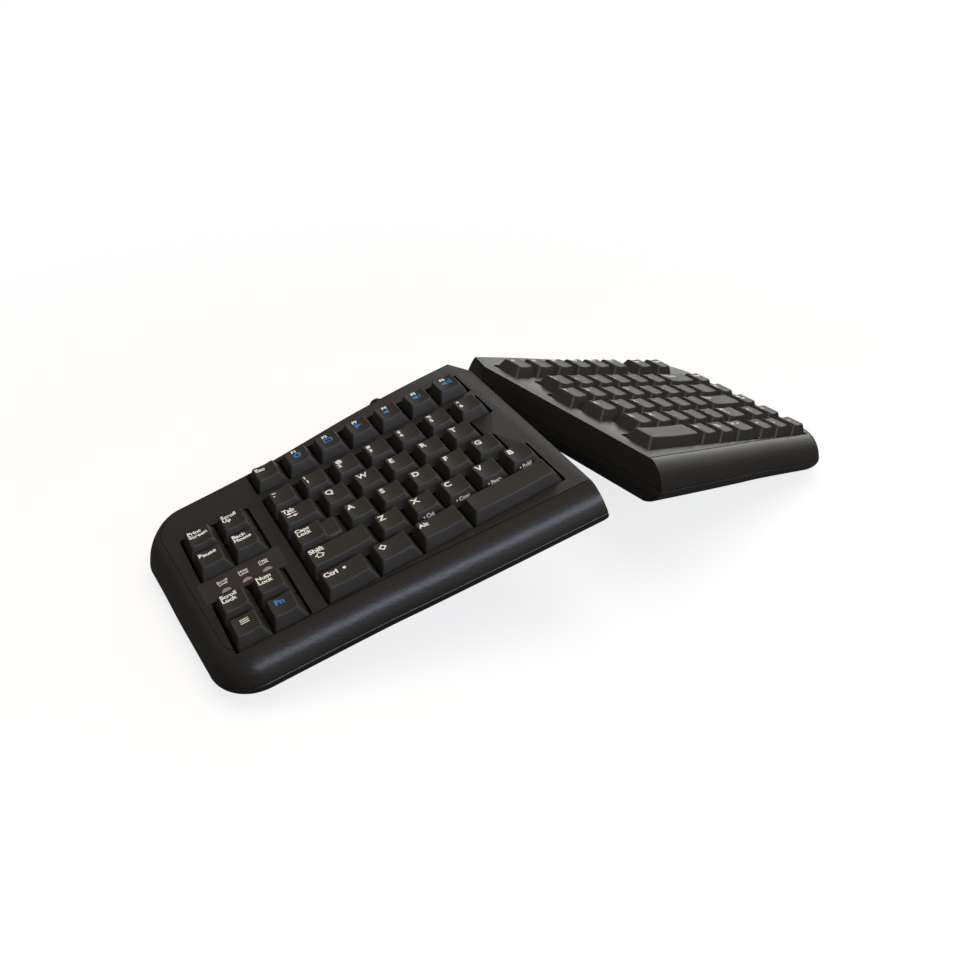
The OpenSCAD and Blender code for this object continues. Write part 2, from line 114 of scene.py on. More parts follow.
def case_outline():
    front = [[FRONT_LONG * t or SEAM, FRONT_IN + FRONT_RISE * t - FRONT_BOW * t * (1 - t),
              0, FRONT_ROLL, 0, 1] for t in [k / 6 for k in range(6)]]
    front[0][4] = 1
    front.append([FRONT_CORNER[0], FRONT_CORNER[1] - FRONT_RADIUS, 0, FRONT_ROLL, 0, 1])
    line = smooth_run(front, RUN_STEPS)[:-1]
    line += outline_corner(FRONT_CORNER, FRONT_RADIUS, -90, 90, 24, FRONT_ROLL)
    side = [line[-1]] + [[x, y, -SIDE_ROLL, 0, -1, 0] for x, y in SIDE_RUN] + [SIDE_END]
    line += smooth_run(side, RUN_STEPS)[1:-1]
    line += outline_corner(BACK_CORNER, BACK_RADIUS, 5, 85, 28, BACK_ROLL)
    back = [[x, BACK_OUT + BACK_RISE * y, 0, -BACK_ROLL, 0, -1] for x, y in BACK_RUN]
    back[-1][4] = 1
    return line + smooth_run(back, RUN_STEPS)[1:]


OUTLINE = case_outline()
RIM = smooth_run([[0, 11.5], [2, 7], [5.5, 2.5], [10.5, 0], [16, 2.2], [20, 5], [23, 8.4],
                  [24.6, 11.2], [DECK, 13]], RUN_STEPS)
ROOM_RIM = smooth_run([[WALL, 6.4], [5.5, 2.5], [10.5, 0], [16, 2.2], [20, 5],
                       [DECK - WALL, 7.8]], RUN_STEPS)


def rim_inset(height):
    for (z0, i0), (z1, i1) in zip(RIM, RIM[1:]):
        if z0 <= height <= z1:
            return i0 + (i1 - i0) * (height - z0) / (z1 - z0)


def close_over(solid, loops):
    for low, high in zip(loops, loops[1:]):
        for i in range(len(low)):
            j = (i + 1) % len(low)
            solid.faces.new((low[i], low[j], high[j], high[i]))
    solid.faces.new(loops[0][::-1])
    solid.faces.new(loops[-1])
    return solid


def loft(rings, inset=0.0):
    solid = bmesh.new()
    loops = [[solid.verts.new((x + r * rx + inset * wx, y + r * ry + inset * wy, z))
              for x, y, rx, ry, wx, wy in OUTLINE] for z, r in rings]
    return close_over(solid, loops)


def block(x0, x1, y0, y1, z0, z1, corner=0.0, steps=5):
    ring = []
    for cx, cy, start in ((x1, y1, 0), (x0, y1, 90), (x0, y0, 180), (x1, y0, 270)):
        for k in range(steps + 1 if corner else 1):
            a = radians(start + 90 * k / steps)
            in_x, in_y = corner * (1 if cx == x1 else -1), corner * (1 if cy == y1 else -1)
            ring.append((cx - in_x + corner * cos(a), cy - in_y + corner * sin(a)))
    solid = bmesh.new()
    return close_over(solid, [[solid.verts.new((x, y, z)) for x, y in ring] for z in (z0, z1)])


def rod(start, end, radius):
    start, end = Vector(start), Vector(end)
    solid = bmesh.new()
    bmesh.ops.create_cone(solid, cap_ends=True, segments=40, radius1=radius, radius2=radius,
                          depth=(end - start).length)
    turn = (end - start).to_track_quat("Z", "Y").to_matrix().to_4x4()
    place = Matrix.Translation((start + end) / 2) @ turn
    bmesh.ops.transform(solid, matrix=place, verts=solid.verts)
    return solid


def upright(x, y, low, high, radius):
    return rod((x, y, low), (x, y, high), radius)


def placed(name, solid):
    mesh = bpy.data.meshes.new(name)
    solid.to_mesh(mesh)
    solid.free()
    piece = bpy.data.objects.new(name, mesh)
    bpy.context.scene.collection.objects.link(piece)
    return piece


def settle(piece):
    depsgraph = bpy.context.evaluated_depsgraph_get()
    baked = bpy.data.meshes.new_from_object(piece.evaluated_get(depsgraph))
    piece.modifiers.clear()
    piece.data = baked
    baked.name = piece.name
    return piece


def carve(piece, cutters):
    rack = bpy.data.collections.new("cutters")
    bpy.context.scene.collection.children.link(rack)
    for solid in cutters:
        tool = placed("cutter", solid)
        bpy.context.scene.collection.objects.unlink(tool)
        rack.objects.link(tool)
    cut = piece.modifiers.new("Carve", "BOOLEAN")
    cut.solver, cut.operand_type, cut.collection = "EXACT", "COLLECTION", rack
    settle(piece)
    for tool in list(rack.objects):
        bpy.data.objects.remove(tool)
    bpy.data.collections.remove(rack)
    return piece


def seam_wedges():
    low = block(-60, 0, -200, 200, -60, 0)
    bmesh.ops.transform(low, verts=low.verts, matrix=Matrix.Translation((SEAM, 0, JOINT.z))
                        @ Matrix.Rotation(-RELIEF_LOW, 4, "Y"))
    back = block(-60, 0, 0, 80, -50, 100)
    bmesh.ops.transform(back, verts=back.verts, matrix=Matrix.Translation((SEAM, JOINT.y, 0))
                        @ Matrix.Rotation(-RELIEF_BACK, 4, "Z"))
    return [low, back]


# The room inside stops short of the seam's slanted walls and of the lever's pocket.
def hollow(pocketed):
    room = placed("room", loft(ROOM_RIM, WALL))
    low_wall = SEAM + WALL + JOINT.z * tan(RELIEF_LOW) + 0.5
    back_wall = SEAM + WALL + 21.5 * tan(RELIEF_BACK)
    walls = [block(-1, low_wall, -120, 80, 0, JOINT.z),
             block(-1, back_wall, JOINT.y - 4, 80, -1, 30)]
    if pocketed:
        walls.append(block(-1, 63, 42.2, 80, 0, PARTING + 0.1))
    carve(room, walls)
    inside = bmesh.new()
    inside.from_mesh(room.data)
    bpy.data.objects.remove(room)
    return inside


WELL_RADIUS = 9.1


def joint_well():
    well = bmesh.new()
    bmesh.ops.create_uvsphere(well, u_segments=48, v_segments=24, radius=WELL_RADIUS)
    bmesh.ops.translate(well, vec=JOINT, verts=well.verts)
    return well


def bevelled(piece, width, segments, angle):
    soften = piece.modifiers.new("Edges", "BEVEL")
    soften.width, soften.segments = width, segments
    soften.limit_method, soften.angle_limit = "ANGLE", radians(angle)
    return settle(piece)


def smoothed(piece, angle):
    piece.data.shade_smooth()
    piece.data.set_sharp_from_angle(angle=radians(angle))
    return piece


def stand_up(piece, place, mirrored):
    piece.data.transform(place)
    if mirrored:
        piece.data.flip_normals()
    return piece


def linear(code):
    parts = [int(code[i:i + 2], 16) / 255 for i in (1, 3, 5)]
    return [v / 12.92 if v <= 0.04045 else ((v + 0.055) / 1.055) ** 2.4 for v in parts] + [1.0]


def add(tree, kind, links={}, **settings):
    made = tree.nodes.new(kind)
    for name, value in settings.items():
        setattr(made, name, value)
    for name, value in links.items():
        if isinstance(value, bpy.types.NodeSocket):
            tree.links.new(value, made.inputs[name])
        else:
            made.inputs[name].default_value = value
    return made.outputs


def new_material(name):
    material = bpy.data.materials.new(name)
    material.use_nodes = True
    tree = material.node_tree
    tree.nodes.clear()
    return material, tree, add(tree, "ShaderNodeTexCoord")["Object"]


def surface(tree, fleck, dark, light, sockets):
    tone = add(tree, "ShaderNodeMix", {"Factor": fleck, 6: linear(dark), 7: linear(light)},
               data_type="RGBA")[2]
    skin = add(tree, "ShaderNodeBsdfPrincipled", {"Base Color": tone, **sockets})["BSDF"]
    add(tree, "ShaderNodeOutputMaterial", {"Surface": skin})


# Spark-eroded ABS: a satin charcoal with a warm cast, a fine orange-peel grain that breaks the
# highlight, and faint patches about 45 mm wide where the melt cooled. The grain is drawn at
# 1.2 mm to show.
ABS_IOR = 1.52
CASE_ABS, tree, where = new_material("moulded_abs_textured_charcoal")
patch = add(tree, "ShaderNodeTexNoise", {"Vector": where, "Scale": 22.0, "Detail": 3.0})["Fac"]
grain = add(tree, "ShaderNodeTexNoise", {"Vector": where, "Scale": 800.0, "Detail": 2.0})["Fac"]
sheen = add(tree, "ShaderNodeMapRange", {"Value": grain, "To Min": 0.27, "To Max": 0.38})["Result"]
relief = add(tree, "ShaderNodeBump",
             {"Height": grain, "Strength": 0.4, "Distance": 0.0002})["Normal"]
surface(tree, patch, "#1d1a16", "#23201b", {"Roughness": sheen, "Normal": relief, "IOR": ABS_IOR})


def dress(piece, material, body, slot, *nodes):
    piece.data.materials.clear()
    piece.data.materials.append(material)
    if nodes:
        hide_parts(*nodes)
    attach(piece, body)
    return piece


SCREWS = [(22, -86.6), (72, -86.6), (122, -86.6), (194.9, -24), (152, 34.8), (72, 43.6)]
SCREW_HEAD, SCREW_SHANK = 3.1, 1.65
SOCKET_RADIUS, SOCKET_LOW, SOCKET_HIGH = 6.8, 2.9, 12.1
SOCKET_SEAT = (-1, 20.2, 27, 41, WALL, 12)
STUD_SEAT, STUD_REACH, STUD_BORE = (9.8, 24.2, 26.8, 41.2, WALL, 12), 14, 1.95
LEVER_LOW, LEVER_HIGH = 3.4, 10.5
LEVER_POCKET = (3.6, 61.6, 43.6, 90, LEVER_LOW, LEVER_HIGH)
PIN_X, PIN_Y, PIN_BORE, EYE_BORE = 12, 48, 1.6, 5.4
SHOE_END, SHOE_BORE = JOINT + Vector((13, 13 * 14 / 12, 0)), 2.7
LIP, LIP_INSET, LIP_GAP = 0.5, 0.3, 0.12
LOWER = [ring for ring in RIM if ring[0] < PARTING - 0.6]
LOWER += [[PARTING - LIP, rim_inset(PARTING - LIP)],
          [PARTING - LIP_GAP, rim_inset(PARTING) + LIP_INSET]]
for side, place, body in HALVES:
    left = side == "left"
    tray = placed(side + "_bottom_shell", loft(LOWER))
    cuts = [hollow(left)] + seam_wedges()
    for x, y in SCREWS:
        cuts += [upright(x, y, -1, 2.6, SCREW_HEAD), upright(x, y, 2, 6, SCREW_SHANK)]
    if left:
        cuts += [block(*LEVER_POCKET), upright(PIN_X, PIN_Y, 1, 20, PIN_BORE),
                 upright(PIN_X, PIN_Y, LEVER_LOW, LEVER_HIGH, EYE_BORE),
                 upright(JOINT.x, JOINT.y, SOCKET_LOW, SOCKET_HIGH, SOCKET_RADIUS),
                 block(*SOCKET_SEAT), rod(JOINT, SHOE_END, SHOE_BORE)]
    else:
        cuts += [joint_well(), block(*STUD_SEAT),
                 rod(JOINT, JOINT + Vector((STUD_REACH, 0, 0)), STUD_BORE)]
    bevelled(carve(tray, cuts), 0.25, 2, 38)
    smoothed(stand_up(tray, place, left), 32)
    dress(tray, CASE_ABS, body, "shell_plastic", side + "_bottom_case")

# Top shells
# ABS lids with a flat deck and the key openings, rolled down to the parting line. A fine
# groove runs round the deck inside the roll. Clipped and screwed to the trays from below.
PITCH, MARGIN, FN_ROW, ROOM = 19.05, 10.5, 1.38, 0.8
L_OPENINGS = [(0, 7, FN_ROW), (0, 7, 0), (0, 6.25, -1), (0, 6.5, -2), (0, 7, -3), (0, 7, -4)]
L_CLUSTER = [(-2.5, -0.5, 0, -1), (-2.5, -0.5, -3, -4)]
R_OPENINGS = [(0, 6, FN_ROW), (6.45, 8.6, FN_ROW), (0.5, 9.3, 0), (0, 9.3, -1), (0.25, 9.3, -2),
              (0.75, 9.3, -3), (0.05, 6, -4), (6.2, 9.3, -4)]
GLAND_X, GLAND_Z, GLAND_BORE = 56, 17.5, 3.7
STRIP_RECESS = (MARGIN + 7.33 * PITCH, MARGIN + 9.65 * PITCH, -2.43 * PITCH, -1.57 * PITCH,
                DECK - 0.9, 40)
UPPER = [[PARTING + LIP_GAP, rim_inset(PARTING) + LIP_INSET],
         [PARTING + LIP, rim_inset(PARTING + LIP)]]
UPPER += [ring for ring in RIM if ring[0] > PARTING + 0.6]
UPPER += [[DECK, 13.5], [DECK - 0.5, 13.6], [DECK - 0.5, 14.1], [DECK, 14.2]]


def opening(first, last, back_row, front_row, left):
    if left:
        first, last = 7 - last, 7 - first
    half = PITCH / 2 + ROOM
    return block(MARGIN + first * PITCH - ROOM, MARGIN + last * PITCH + ROOM,
                 front_row * PITCH - half, back_row * PITCH + half, DECK - 6.5, DECK + 6, 1.1, 4)


for side, place, body in HALVES:
    left = side == "left"
    lid = placed(side + "_top_shell", loft(UPPER))
    cuts = [hollow(False)] + seam_wedges()
    cuts += [opening(a, b, r, r, left) for a, b, r in (L_OPENINGS if left else R_OPENINGS)]
    if left:
        cuts += [opening(a, b, r, s, True) for a, b, r, s in L_CLUSTER]
        cuts += [upright(JOINT.x, JOINT.y, SOCKET_LOW, SOCKET_HIGH, SOCKET_RADIUS),
                 rod((GLAND_X, 20, GLAND_Z), (GLAND_X, 80, GLAND_Z), GLAND_BORE),
                 block(*STRIP_RECESS)]
    else:
        cuts.append(joint_well())
    bevelled(carve(lid, cuts), 0.3, 2, 38)
    smoothed(stand_up(lid, place, left), 32)
    dress(lid, CASE_ABS, body, "shell_plastic", side + "_top_case")

# Key caps
# Moulded ABS caps with sloped sides and a top hollowed across, each on a stem. One cap is
# modelled at the one-unit width, and a node tree sets it on every key and widens the long ones.
# The stepped caps key is two caps on one stem, so its upper cap is set without one.
KEY_TOP, KEY_RIM, HOLLOW_DEPTH, TOP_HALF = 31.0, 23.2, 0.8, 6.0
CAP_EDGE = (PITCH - 0.9) / 2
SIDE_SLOPE, FRONT_SLOPE = 3.0, 2.6
STEP_DOWN = -2.6 / (KEY_TOP - KEY_RIM)
STEM_SIZE, STEM_MIDDLE = (5, 4, 12), 23.3
# Levels of the cap: height, way up the slope, inset, corner radius and share of the hollow.
CAP_LEVELS = [(28.6, 0.7, 3.4, 0.4, 0), (28.6, 0.7, 1.4, 0.4, 0), (KEY_RIM, 0, 1.3, 0.6, 0),
              (KEY_RIM, 0, 0.25, 0.9, 0), (KEY_RIM + 0.25, 0, 0.02, 1.1, 0),
              (27.0, 0.47, 0, 1.2, 0.25), (30.2, 0.9, 0, 1.25, 0.95), (30.65, 0.955, 0.05, 1.3, 1),
              (30.93, 0.985, 0.22, 1.3, 1), (KEY_TOP, 1, 0.5, 1.2, 1), (KEY_TOP, 1, 1.1, 1.0, 1),
              (KEY_TOP, 1, 2.4, 0.8, 1), (KEY_TOP, 1, 4.0, 0.5, 1), (KEY_TOP, 1, 5.3, 0.2, 1)]


def cap_ring(x0, x1, y0, y1, radius, corner_steps=4, along=6, across=3):
    ring = []
    corners = ((x0 + radius, y0 + radius, 180), (x1 - radius, y0 + radius, 270),
               (x1 - radius, y1 - radius, 0), (x0 + radius, y1 - radius, 90))
    for i, (cx, cy, start) in enumerate(corners):
        for k in range(corner_steps + 1):
            a = radians(start + 90 * k / corner_steps)
            ring.append((cx + radius * cos(a), cy + radius * sin(a)))
        nx, ny, _ = corners[(i + 1) % 4]
        count = along if i % 2 == 0 else across
        px, py = ring[-1]
        a = radians(start + 90)
        qx, qy = nx + radius * cos(a), ny + radius * sin(a)
        for k in range(1, count + 1):
            t = k / (count + 1)
            ring.append((px + (qx - px) * t, py + (qy - py) * t))
    return ring


def dip(x, half):
    return HOLLOW_DEPTH * (1 - min(abs(x) / half, 1) ** 2)


def cap_solid():
    solid = bmesh.new()
    lean = solid.verts.layers.float.new("lean")
    shank = solid.verts.layers.float.new("shank")
    loops = []
    for z, rise, inset, radius, hollowed in CAP_LEVELS:
        side = CAP_EDGE - SIDE_SLOPE * rise - inset
        front = CAP_EDGE - FRONT_SLOPE * rise - inset
        loop = []
        for x, y in cap_ring(-side, side, -front, side, radius):
            vert = solid.verts.new((x, y, z - hollowed * dip(x, TOP_HALF)))
            vert[lean] = max(-1, min(1, x / 5.0))
            loop.append(vert)
        loops.append(loop)
    close_over(solid, loops)
    stem = bmesh.ops.create_cube(solid, size=1.0)["verts"]
    bmesh.ops.transform(solid, verts=stem, matrix=Matrix.Translation((0, 0, STEM_MIDDLE))
                        @ Matrix.Diagonal((*STEM_SIZE, 1)))
    for vert in stem:
        vert[shank] = 1.0
    return solid


# Satin ABS of the caps: finer grained than the case and duller, a shade lighter, with a slight
# polish that wanders from key to key, about 18 mm, where fingers have worn the texture. The
# grain is drawn at 0.7 mm to show.
CAP_ABS, tree, where = new_material("moulded_abs_satin_caps")
wear = add(tree, "ShaderNodeTexNoise", {"Vector": where, "Scale": 55.0, "Detail": 2.0})["Fac"]
grain = add(tree, "ShaderNodeTexNoise", {"Vector": where, "Scale": 1500.0, "Detail": 2.0})["Fac"]
sheen = add(tree, "ShaderNodeMapRange", {"Value": wear, "To Min": 0.52, "To Max": 0.38})["Result"]
relief = add(tree, "ShaderNodeBump",
             {"Height": grain, "Strength": 0.1, "Distance": 0.00015})["Normal"]
surface(tree, wear, "#25221d", "#2c2923", {"Roughness": sheen, "Normal": relief, "IOR": ABS_IOR})

cap_pattern = placed("cap_pattern", cap_solid())
key_tree = bpy.data.node_groups.new("Caps on a row", "GeometryNodeTree")
key_tree.is_modifier = True
for name, kind in (("Geometry", "NodeSocketGeometry"), ("Cap", "NodeSocketObject"),
                   ("Rim height", "NodeSocketFloat"), ("Plastic", "NodeSocketMaterial")):
    key_tree.interface.new_socket(name=name, in_out="INPUT", socket_type=kind)
key_tree.interface.new_socket(name="Geometry", in_out="OUTPUT", socket_type="NodeSocketGeometry")
given = add(key_tree, "NodeGroupInput")
cap = add(key_tree, "GeometryNodeObjectInfo", {"Object": given["Cap"]})["Geometry"]
caps = add(key_tree, "GeometryNodeInstanceOnPoints",
           {"Points": given["Geometry"], "Instance": cap})["Instances"]
caps = add(key_tree, "GeometryNodeRealizeInstances", {"Geometry": caps})["Geometry"]
lean, spare, squat, shank, bare = [
    add(key_tree, "GeometryNodeInputNamedAttribute", {"Name": name}, data_type="FLOAT")["Attribute"]
    for name in ("lean", "spare", "squat", "shank", "bare")]
second_stem = add(key_tree, "ShaderNodeMath", {0: shank, 1: bare}, operation="MULTIPLY")["Value"]
caps = add(key_tree, "GeometryNodeDeleteGeometry",
           {"Geometry": caps, "Selection": second_stem}, domain="POINT")["Geometry"]
widen = add(key_tree, "ShaderNodeMath", {0: lean, 1: spare}, operation="MULTIPLY")["Value"]
spot = add(key_tree, "GeometryNodeInputPosition")["Position"]
height = add(key_tree, "ShaderNodeSeparateXYZ", {"Vector": spot})["Z"]
above = add(key_tree, "ShaderNodeMath", {0: height, 1: given["Rim height"]},
            operation="SUBTRACT")["Value"]
above = add(key_tree, "ShaderNodeMath", {0: above, 1: 0.0}, operation="MAXIMUM")["Value"]
lower = add(key_tree, "ShaderNodeMath", {0: above, 1: squat}, operation="MULTIPLY")["Value"]
shift = add(key_tree, "ShaderNodeCombineXYZ", {"X": widen, "Z": lower})["Vector"]
caps = add(key_tree, "GeometryNodeSetPosition", {"Geometry": caps, "Offset": shift})["Geometry"]
caps = add(key_tree, "GeometryNodeSetMaterial",
           {"Geometry": caps, "Material": given["Plastic"]})["Geometry"]
add(key_tree, "NodeGroupOutput", {"Geometry": caps})
key_sockets = {item.name: item.identifier for item in key_tree.interface.items_tree
               if item.in_out == "INPUT"}


def row_of(first, row, names):
    return [(first + i, first + i + 1, row, name) for i, name in enumerate(names)]


LEFT_KEYS = {
    "escape_key": [(0, 1, FN_ROW, "Esc")],
    "left_function_keys": row_of(1, FN_ROW, ["F1", "F2", "F3", "F4", "F5", "F6"]),
    "left_number_keys": row_of(0, 0, ["~`", "!1", "@2", "#3", "$4", "%5", "^6"]),
    "tab_key": [(0, 1.25, -1, "Tab")],
    "left_upper_letters": row_of(1.25, -1, "QWERT"),
    "caps_key": [(0, 1.08, -2, "Caps\nLock")],
    "left_home_letters": row_of(1.5, -2, "ASDFG"),
    "left_shift_key": [(0, 2, -3, "Shift")],
    "left_lower_letters": row_of(2, -3, "ZXCVB"),
    "left_ctrl_key": [(0, 1.5, -4, "Ctrl")],
    "left_meta_key": [(1.5, 2.75, -4, "")],
    "left_alt_key": [(2.75, 4.25, -4, "Alt")],
    "left_space_key": [(4.25, 7, -4, "")],
    "cluster_upper_keys": (row_of(-2.5, 0, ["Print\nScreen", "Scroll\nUp"])
                           + row_of(-2.5, -1, ["Pause", "Back\nHome"])),
    "cluster_lower_keys": (row_of(-2.5, -3, ["Scroll\nLock", "Num\nLock"])
                           + row_of(-2.5, -4, ["≡"])),
    "fn_key": [(-1.5, -0.5, -4, "Fn")],
}
CAPS_LOWER_STEP = [(0, 1.5, -2, "")]
RIGHT_KEYS = {
    "right_function_keys": row_of(0, FN_ROW, ["F7", "F8", "F9", "F10", "F11", "F12"]),
    "delete_keys": [(6.45, 7.45, FN_ROW, "Insert"), (7.6, 8.6, FN_ROW, "Delete")],
    "right_number_keys": row_of(0.5, 0, ["&7", "*8", "(9", ")0", "_-", "+="]),
    "backspace_key": [(6.5, 8.25, 0, "Backspace")],
    "right_upper_letters": (row_of(0, -1, ["Y", "U", "I", "O", "P", "{[", "}]"])
                            + [(7, 8.25, -1, "|\\")]),
    "right_home_letters": row_of(0.25, -2, ["H", "J", "K", "L", ":;", "\"'"]),
    "enter_key": [(6.25, 8.25, -2, "Enter")],
    "right_lower_letters": row_of(0.75, -3, ["N", "M", "<,", ">.", "?/"]),
    "right_shift_key": [(5.75, 7.05, -3, "Shift")],
    "right_space_key": [(0.05, 2.8, -4, "")],
    "right_modifier_keys": [(2.8, 3.8, -4, "Alt"), (3.8, 4.8, -4, "≡"), (4.8, 6, -4, "Ctrl")],
    "nav_keys": [(8.3, 9.3, 0, "Home"), (8.3, 9.3, -1, "Page\nUp"),
                 (8.3, 9.3, -2, "Page\nDown"), (8.3, 9.3, -3, "End")],
    "arrow_up_key": [(7.25, 8.25, -3, "↑")],
    "arrow_left_key": [(6.2, 7.2, -4, "←")],
    "arrow_down_key": [(7.2, 8.2, -4, "↓")],
    "arrow_right_key": [(8.3, 9.3, -4, "→")],
}


def key_places(keys, left):
    places = []
    for first, last, row, name in keys:
        middle = (first + last) / 2
        x = (middle - 7) * PITCH - MARGIN if left else MARGIN + middle * PITCH
        places.append((x, row * PITCH, (last - first - 1) * PITCH, name))
    return places


for left, place, keys in ((True, LEFT, LEFT_KEYS), (False, RIGHT, RIGHT_KEYS)):
    for name, row in keys.items():
        stepped = name == "caps_key"
        spots = [(x, y, spare / 2, 0.0, float(stepped)) for x, y, spare, _ in key_places(row, left)]
        if stepped:
            spots += [(x, y, spare / 2, STEP_DOWN, 0.0)
                      for x, y, spare, _ in key_places(CAPS_LOWER_STEP, left)]
        mesh = bpy.data.meshes.new(name + "_caps")
        mesh.from_pydata([(x, y, 0) for x, y, *_ in spots], [], [])
        for label, column in (("spare", 2), ("squat", 3), ("bare", 4)):
            values = [s[column] for s in spots]
            mesh.attributes.new(label, "FLOAT", "POINT").data.foreach_set("value", values)
        piece = bpy.data.objects.new(name + "_caps", mesh)
        bpy.context.scene.collection.objects.link(piece)
        grow = piece.modifiers.new("Caps", "NODES")
        grow.node_group = key_tree
        grow[key_sockets["Cap"]] = cap_pattern
        grow[key_sockets["Rim height"]] = KEY_RIM
        grow[key_sockets["Plastic"]] = CAP_ABS
        smoothed(stand_up(settle(piece), place, False), 40)
        dress(piece, CAP_ABS, name, "key_plastic", name)
bpy.data.objects.remove(cap_pattern)

# Key legends
# Pad-printed ink on the caps: white letters and words, blue second functions, and small white
# words on the front of four letter keys. Each print lies on the hollow of its cap.

# Pad-print ink: a dull film of full colour, thinner in flecks drawn at 1.1 mm to show.
INKS = {}
for name, dark, light in (("white", "#c4c1ba", "#dedbd5"), ("blue", "#1f5c9c", "#3a86cc")):
    INKS[name], tree, where = new_material("pad_print_" + name + "_ink")
    worn = add(tree, "ShaderNodeTexNoise", {"Vector": where, "Scale": 900.0, "Detail": 2.0})["Fac"]
    surface(tree, worn, dark, light, {"Roughness": 0.5})

prints = []


def lettering(text, size, bold, align, spacing):
    curve = bpy.data.curves.new("print", "FONT")
    curve.body, curve.size, curve.offset, curve.resolution_u = text, size, bold, 3
    curve.align_x, curve.align_y, curve.space_line = align, "CENTER", spacing
    thing = bpy.data.objects.new("print", curve)
    bpy.context.scene.collection.objects.link(thing)
    return thing


def word(text, size, x, y, key, ink="white", face="top", bold=0.17):
    prints.append((lettering(text, size, bold, "LEFT", 0.85), x, y, key, ink, face))


def mark(outline, x, y, key, ink="white"):
    curve = bpy.data.curves.new("print", "CURVE")
    curve.dimensions, curve.fill_mode = "2D", "FRONT"
    for ring in outline:
        spline = curve.splines.new("POLY")
        spline.points.add(len(ring) - 1)
        for point, (px, py) in zip(spline.points, ring):
            point.co = (px, py, 0, 1)
        spline.use_cyclic_u = True
    thing = bpy.data.objects.new("print", curve)
    bpy.context.scene.collection.objects.link(thing)
    prints.append((thing, x, y, key, ink, "top"))


def disc(radius, sides=20):
    angles = [2 * pi * k / sides for k in range(sides)]
    return [(radius * cos(a), radius * sin(a)) for a in angles]


def sized(outline, across, up):
    return [[(across * px, up * py) for px, py in ring] for ring in outline]


def turned(outline, angle):
    return [[(px * cos(angle) - py * sin(angle), px * sin(angle) + py * cos(angle))
             for px, py in ring] for ring in outline]


SPEAKER = [(-2.2, -0.7), (-1.1, -0.7), (0.2, -1.7), (0.2, 1.7), (-1.1, 0.7), (-2.2, 0.7)]
BAR = [(1.0, -1.3), (1.5, -1.3), (1.5, 1.3), (1.0, 1.3)]
TALL_BAR = [(x + 1.0, y * 1.4) for x, y in BAR]
SCREEN = [[(-2, -1.4), (2, -1.4), (2, 1.4), (-2, 1.4)],
          [(-1.5, -0.9), (1.5, -0.9), (1.5, 0.9), (-1.5, 0.9)]]
SECOND = {"F1": [disc(1.8), disc(1.0)], "F2": SCREEN, "F3": [[(-1.6, -1.7), (1.8, 0), (-1.6, 1.7)]],
          "F4": [SPEAKER], "F5": [SPEAKER, BAR], "F6": [SPEAKER, BAR, TALL_BAR]}
SHIFT_ARROW = [[(-1.6, -1.5), (1.6, -1.5), (1.6, 0.1), (2.9, 0.1), (0, 2.6), (-2.9, 0.1),
                (-1.6, 0.1)],
               [(-1.05, -0.95), (1.05, -0.95), (1.05, 0.65), (1.5, 0.65), (0, 1.9), (-1.5, 0.65),
                (-1.05, 0.65)]]
POINTER = [[(-2.2, -0.3), (0.6, -0.3), (0.6, -1.2), (2.4, 0), (0.6, 1.2), (0.6, 0.3), (-2.2, 0.3)]]
LIST_BARS = [[(-2.2, h), (2.2, h), (2.2, h + 0.6), (-2.2, h + 0.6)] for h in (-1.6, -0.3, 1.0)]
DIAMOND = [[(0, -2.2), (2.2, 0), (0, 2.2), (-2.2, 0)], [(0, -1.2), (1.2, 0), (0, 1.2), (-1.2, 0)]]
TURNS = {"↑": 90, "←": 180, "↓": 270, "→": 0}
FRONT_WORDS = {"X": "Cut", "C": "Copy", "V": "Paste", "B": "Bold"}
for left, keys in ((True, LEFT_KEYS), (False, RIGHT_KEYS)):
    for node, row in keys.items():
        for x, y, spare, name in key_places(row, left):
            key = (node, x, y, spare)
            edge = -5.4 - spare / 2
            if node in ("left_function_keys", "right_function_keys"):
                word(name, 3.2, -2.0, 4.1, key)
                if name in SECOND:
                    mark(sized(SECOND[name], 1.2, 1.2), 0.3, 0.1, key, "blue")
            elif name in TURNS:
                mark(turned(POINTER, radians(TURNS[name])), 0, 1.2, key)
            elif name == "≡":
                mark(LIST_BARS, 0, 1.6, key)
            elif name == "Fn":
                word(name, 5.0, -3.2, 2.0, key, "blue")
            elif name == "Shift":
                word(name, 4.4, edge, 3.6, key)
                mark(SHIFT_ARROW, edge + 4.4, -0.9, key)
            elif name == "Tab":
                word(name, 4.2, edge, 3.9, key)
                mark(sized(POINTER, -1.3, 1), edge + 4.0, 1.2, key)
                mark(sized(POINTER, 1.3, 1), edge + 4.0, -1.2, key)
            elif name == "Ctrl":
                word(name, 4.4, edge, 2.6, key)
                mark([disc(0.9)], edge + 10.8, 2.6, key)
            elif node == "left_meta_key":
                mark(DIAMOND, edge + 3.2, 2.2, key)
            elif len(name) == 2:
                word(name[0], 3.5, -4.6, 3.7, key)
                word(name[1], 3.7, -4.6, -0.2, key)
            elif len(name) == 1:
                word(name, 5.3, -4.8, 2.6, key)
            elif name:
                size = 3.7 if "\n" in name or len(name) > 5 else 4.1
                word(name, size, edge, 2.4, key, bold=0.14)
            if left and name in FRONT_WORDS:
                word("• " + FRONT_WORDS[name], 2.8, -4.2, 26.9, key, face="front", bold=0.15)

